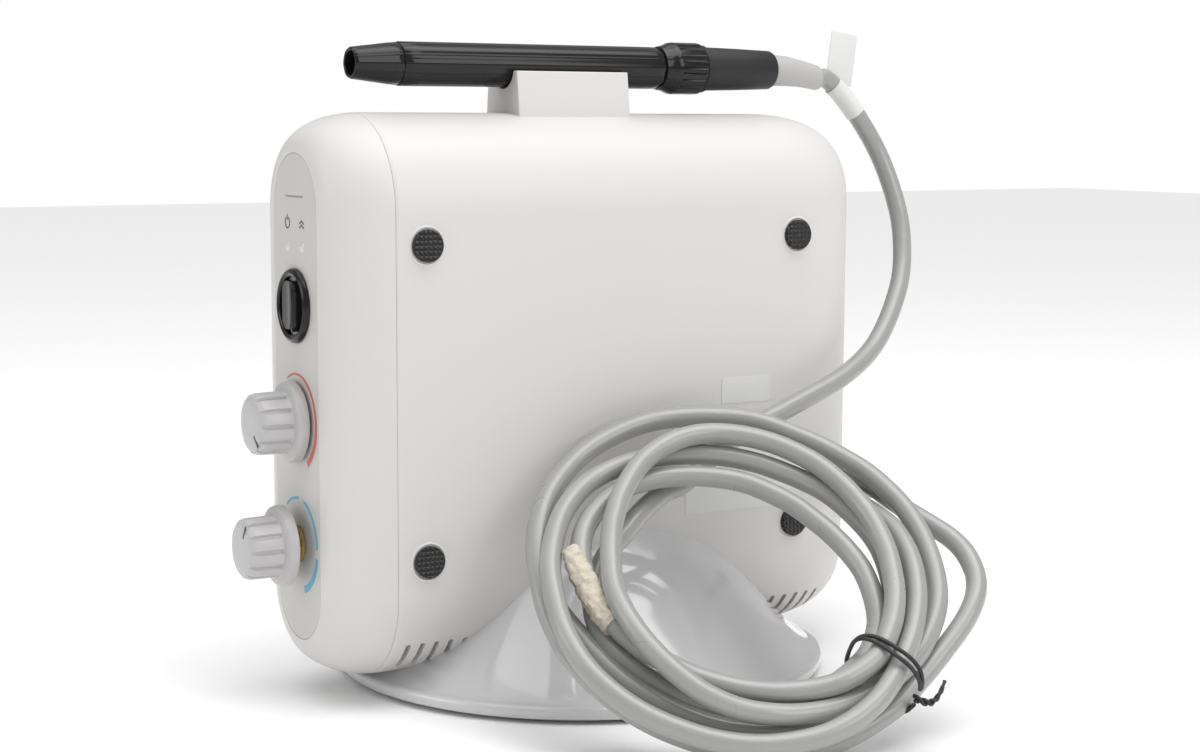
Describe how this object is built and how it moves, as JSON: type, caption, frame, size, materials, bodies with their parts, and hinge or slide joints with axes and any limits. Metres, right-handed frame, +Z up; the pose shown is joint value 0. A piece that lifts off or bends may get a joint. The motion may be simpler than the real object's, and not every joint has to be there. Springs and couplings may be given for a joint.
{
  "type": "ultrasonic scaler",
  "caption": "Dental ultrasonic scaler: slim casing on edge in a round domed stand, with rocker switch, control knobs, and a corded handpiece resting in a holder on top.",
  "frame": {"origin": "on the resting surface, under the middle of the object without its cord", "axes": "+Z up, -Y towards the control panel, +X towards the broad side with the rubber feet"},
  "size_m": [0.2537, 0.2913, 0.2385],
  "materials": {
    "white_casing": "satin white moulded plastic",
    "grey_gloss": "gloss light grey plastic",
    "panel_film": "satin light grey panel film",
    "knob_plastic": "satin light grey plastic",
    "black_plastic": "gloss black plastic",
    "black_sleeve": "matte black plastic",
    "black_rubber": "textured black rubber",
    "grey_cord": "grey cord sheath",
    "grey_relief": "light grey flexible plastic",
    "white_label": "blank white label",
    "steel": "plain steel",
    "aluminium": "plain aluminium",
    "brass": "turned brass",
    "copper": "enamelled copper wire",
    "board_green": "green circuit board",
    "clear_lens": "pale translucent plastic",
    "clear_tube": "pale flexible tube"
  },
  "bodies": {
    "base": {"front_shell": "white_casing", "rear_shell": "white_casing", "panel_overlay": "panel_film", "indicator_lens_left": "clear_lens", "indicator_lens_right": "clear_lens", "switch_body": "black_plastic", "rocker_pin": "steel", "power_control": "steel", "power_nut": "steel", "water_valve": "brass", "water_nut": "brass", "side_foot_1": "black_rubber", "side_foot_2": "black_rubber", "side_foot_3": "black_rubber", "side_foot_4": "black_rubber", "check_label": "white_label", "rating_label": "white_label", "stand": "grey_gloss", "stand_pad_1": "black_rubber", "stand_pad_2": "black_rubber", "stand_pad_3": "black_rubber", "stand_pad_4": "black_rubber", "handpiece_holder": "white_casing", "holder_screw_1": "steel", "holder_screw_2": "steel", "chassis": "aluminium", "main_board": "board_green", "board_rail_lower": "steel", "board_rail_upper": "steel", "heat_sink": "aluminium", "capacitor": "black_plastic", "transformer_core": "steel", "transformer_winding": "copper", "solenoid_valve": "black_plastic", "footswitch_socket": "black_plastic", "water_inlet": "steel", "mains_inlet": "black_plastic", "cord_gland": "grey_relief", "water_tube_supply": "clear_tube", "water_tube_feed": "clear_tube", "cord_coil": "grey_cord", "cord_upper": "grey_cord", "cord_tail": "grey_cord", "twist_tie": "black_rubber", "cord_flag": "white_label"},
    "rocker": {"rocker": "black_plastic"},
    "power_knob": {"power_knob": "knob_plastic", "power_shaft": "aluminium"},
    "water_plunger": {"valve_washer": "black_rubber"},
    "water_knob": {"water_knob": "knob_plastic", "water_stem": "brass"},
    "handpiece_connector": {"connector_sleeve": "black_sleeve", "connector_core": "brass", "strain_relief": "grey_relief"},
    "handpiece": {"handpiece_body": "black_plastic", "handpiece_nose": "black_plastic", "handpiece_liner": "knob_plastic", "handpiece_winding": "copper"},
    "coupling_ring": {"coupling_ring": "black_plastic"}
  },
  "joints": [
    {"name": "rocker_tilt", "type": "hinge", "parent": "base", "child": "rocker", "pos_m": [0, -0.10525, 0.1379], "axis": [0, 0, 1], "range_deg": [0, 20]},
    {"name": "power_turn", "type": "hinge", "parent": "base", "child": "power_knob", "pos_m": [0, -0.1107, 0.098], "axis": [0, 1, 0], "range_deg": [-285, 15]},
    {"name": "water_screw", "type": "slide", "parent": "base", "child": "water_plunger", "axis": [0, 1, 0], "range_m": [-0.0011, 0.0041]},
    {"name": "water_turn", "type": "hinge", "parent": "water_plunger", "child": "water_knob", "pos_m": [0, -0.11475, 0.0552], "axis": [0, 1, 0], "range_deg": [-180, 720]},
    {"name": "handpiece_lift", "type": "slide", "parent": "base", "child": "handpiece_connector", "axis": [0, 0, 1], "range_m": [0, 0.04]},
    {"name": "handpiece_pull", "type": "slide", "parent": "handpiece_connector", "child": "handpiece", "axis": [0, -1, 0], "range_m": [0, 0.014]},
    {"name": "ring_turn", "type": "hinge", "parent": "handpiece_connector", "child": "coupling_ring", "pos_m": [0, 0.0463, 0.2205], "axis": [0, 1, 0], "range_deg": [0, 540]}
  ],
  "couplings": [
    {"joint": "water_screw", "follows": "water_turn", "m_per_rad": 0.00031831}
  ]
}
